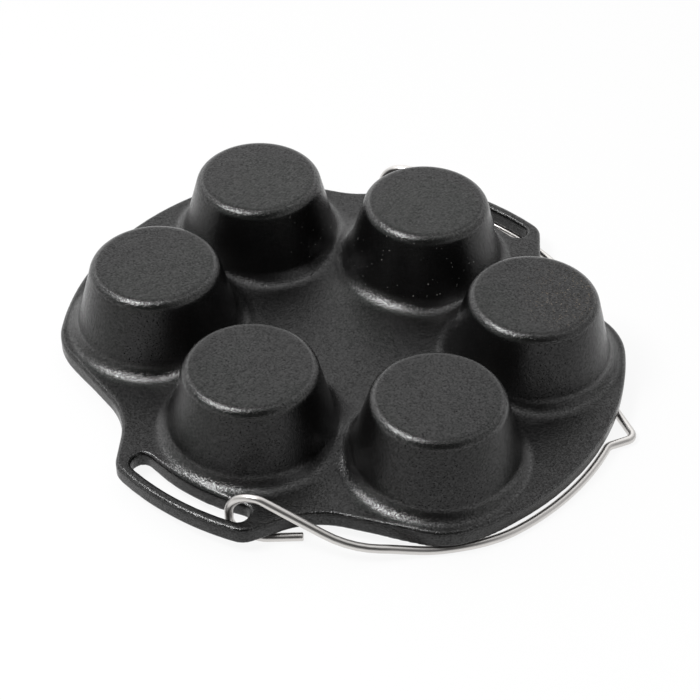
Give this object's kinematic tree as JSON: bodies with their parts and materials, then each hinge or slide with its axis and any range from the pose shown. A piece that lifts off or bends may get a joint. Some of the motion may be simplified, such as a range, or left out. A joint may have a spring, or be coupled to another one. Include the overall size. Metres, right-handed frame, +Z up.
{
  "type": "muffin pan",
  "caption": "Cast iron muffin pan of tapered cups on a round plate with slotted ears and a hooked wire bail, lying upside down with the bail folded.",
  "frame": {"origin": "on the surface that the folded bail lies on, midway between the outermost points of the pan and its bail in X and Y", "axes": "+Z up, out of the closed ends of the cups (the pan lies upside down); Y runs through both ears, -Y is the ear nearer the camera; the bail is folded down on the +X side"},
  "size_m": [0.2776, 0.2636, 0.0503],
  "materials": {
    "seasoned_iron": "seasoned sand-cast surface, satin with a fine grain",
    "steel_wire": "satin drawn wire"
  },
  "bodies": {
    "pan": {"pan_casting": "seasoned_iron"},
    "bail": {"wire_bail": "steel_wire"}
  },
  "joints": [
    {"name": "bail_swing", "type": "hinge", "parent": "pan", "child": "bail", "pos_m": [0.0306, -0.1173, 0.01115], "axis": [-0.3047, 0.9525, 0], "range_deg": [0, 160]}
  ]
}
